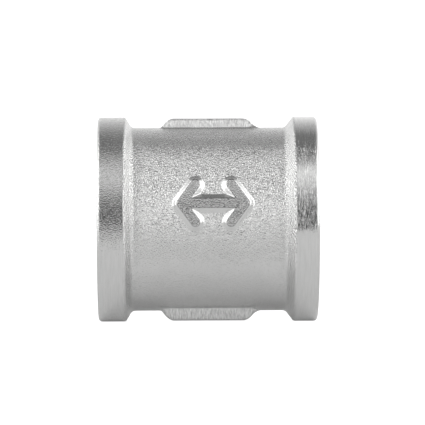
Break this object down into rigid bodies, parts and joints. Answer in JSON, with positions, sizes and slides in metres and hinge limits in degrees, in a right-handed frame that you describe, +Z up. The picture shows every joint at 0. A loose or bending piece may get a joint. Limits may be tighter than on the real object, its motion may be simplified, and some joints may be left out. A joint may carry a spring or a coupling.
{
  "type": "pipe coupling",
  "caption": "Straight nickel-plated brass pipe coupling with G 1/2 inside threads, turned end collars and short raised ribs.",
  "frame": {"origin": "centre of the coupling, on the pipe axis, half way between the two end faces", "axes": "+X along the pipe axis, +Z up through one rib (the ribs' plane is turned 4.4 degrees about X), -Y towards the raised mark"},
  "size_m": [0.0286, 0.0266, 0.0266],
  "materials": {
    "nickel_plate": "satin"
  },
  "bodies": {
    "root": {"coupling_body": "nickel_plate"}
  },
  "joints": []
}
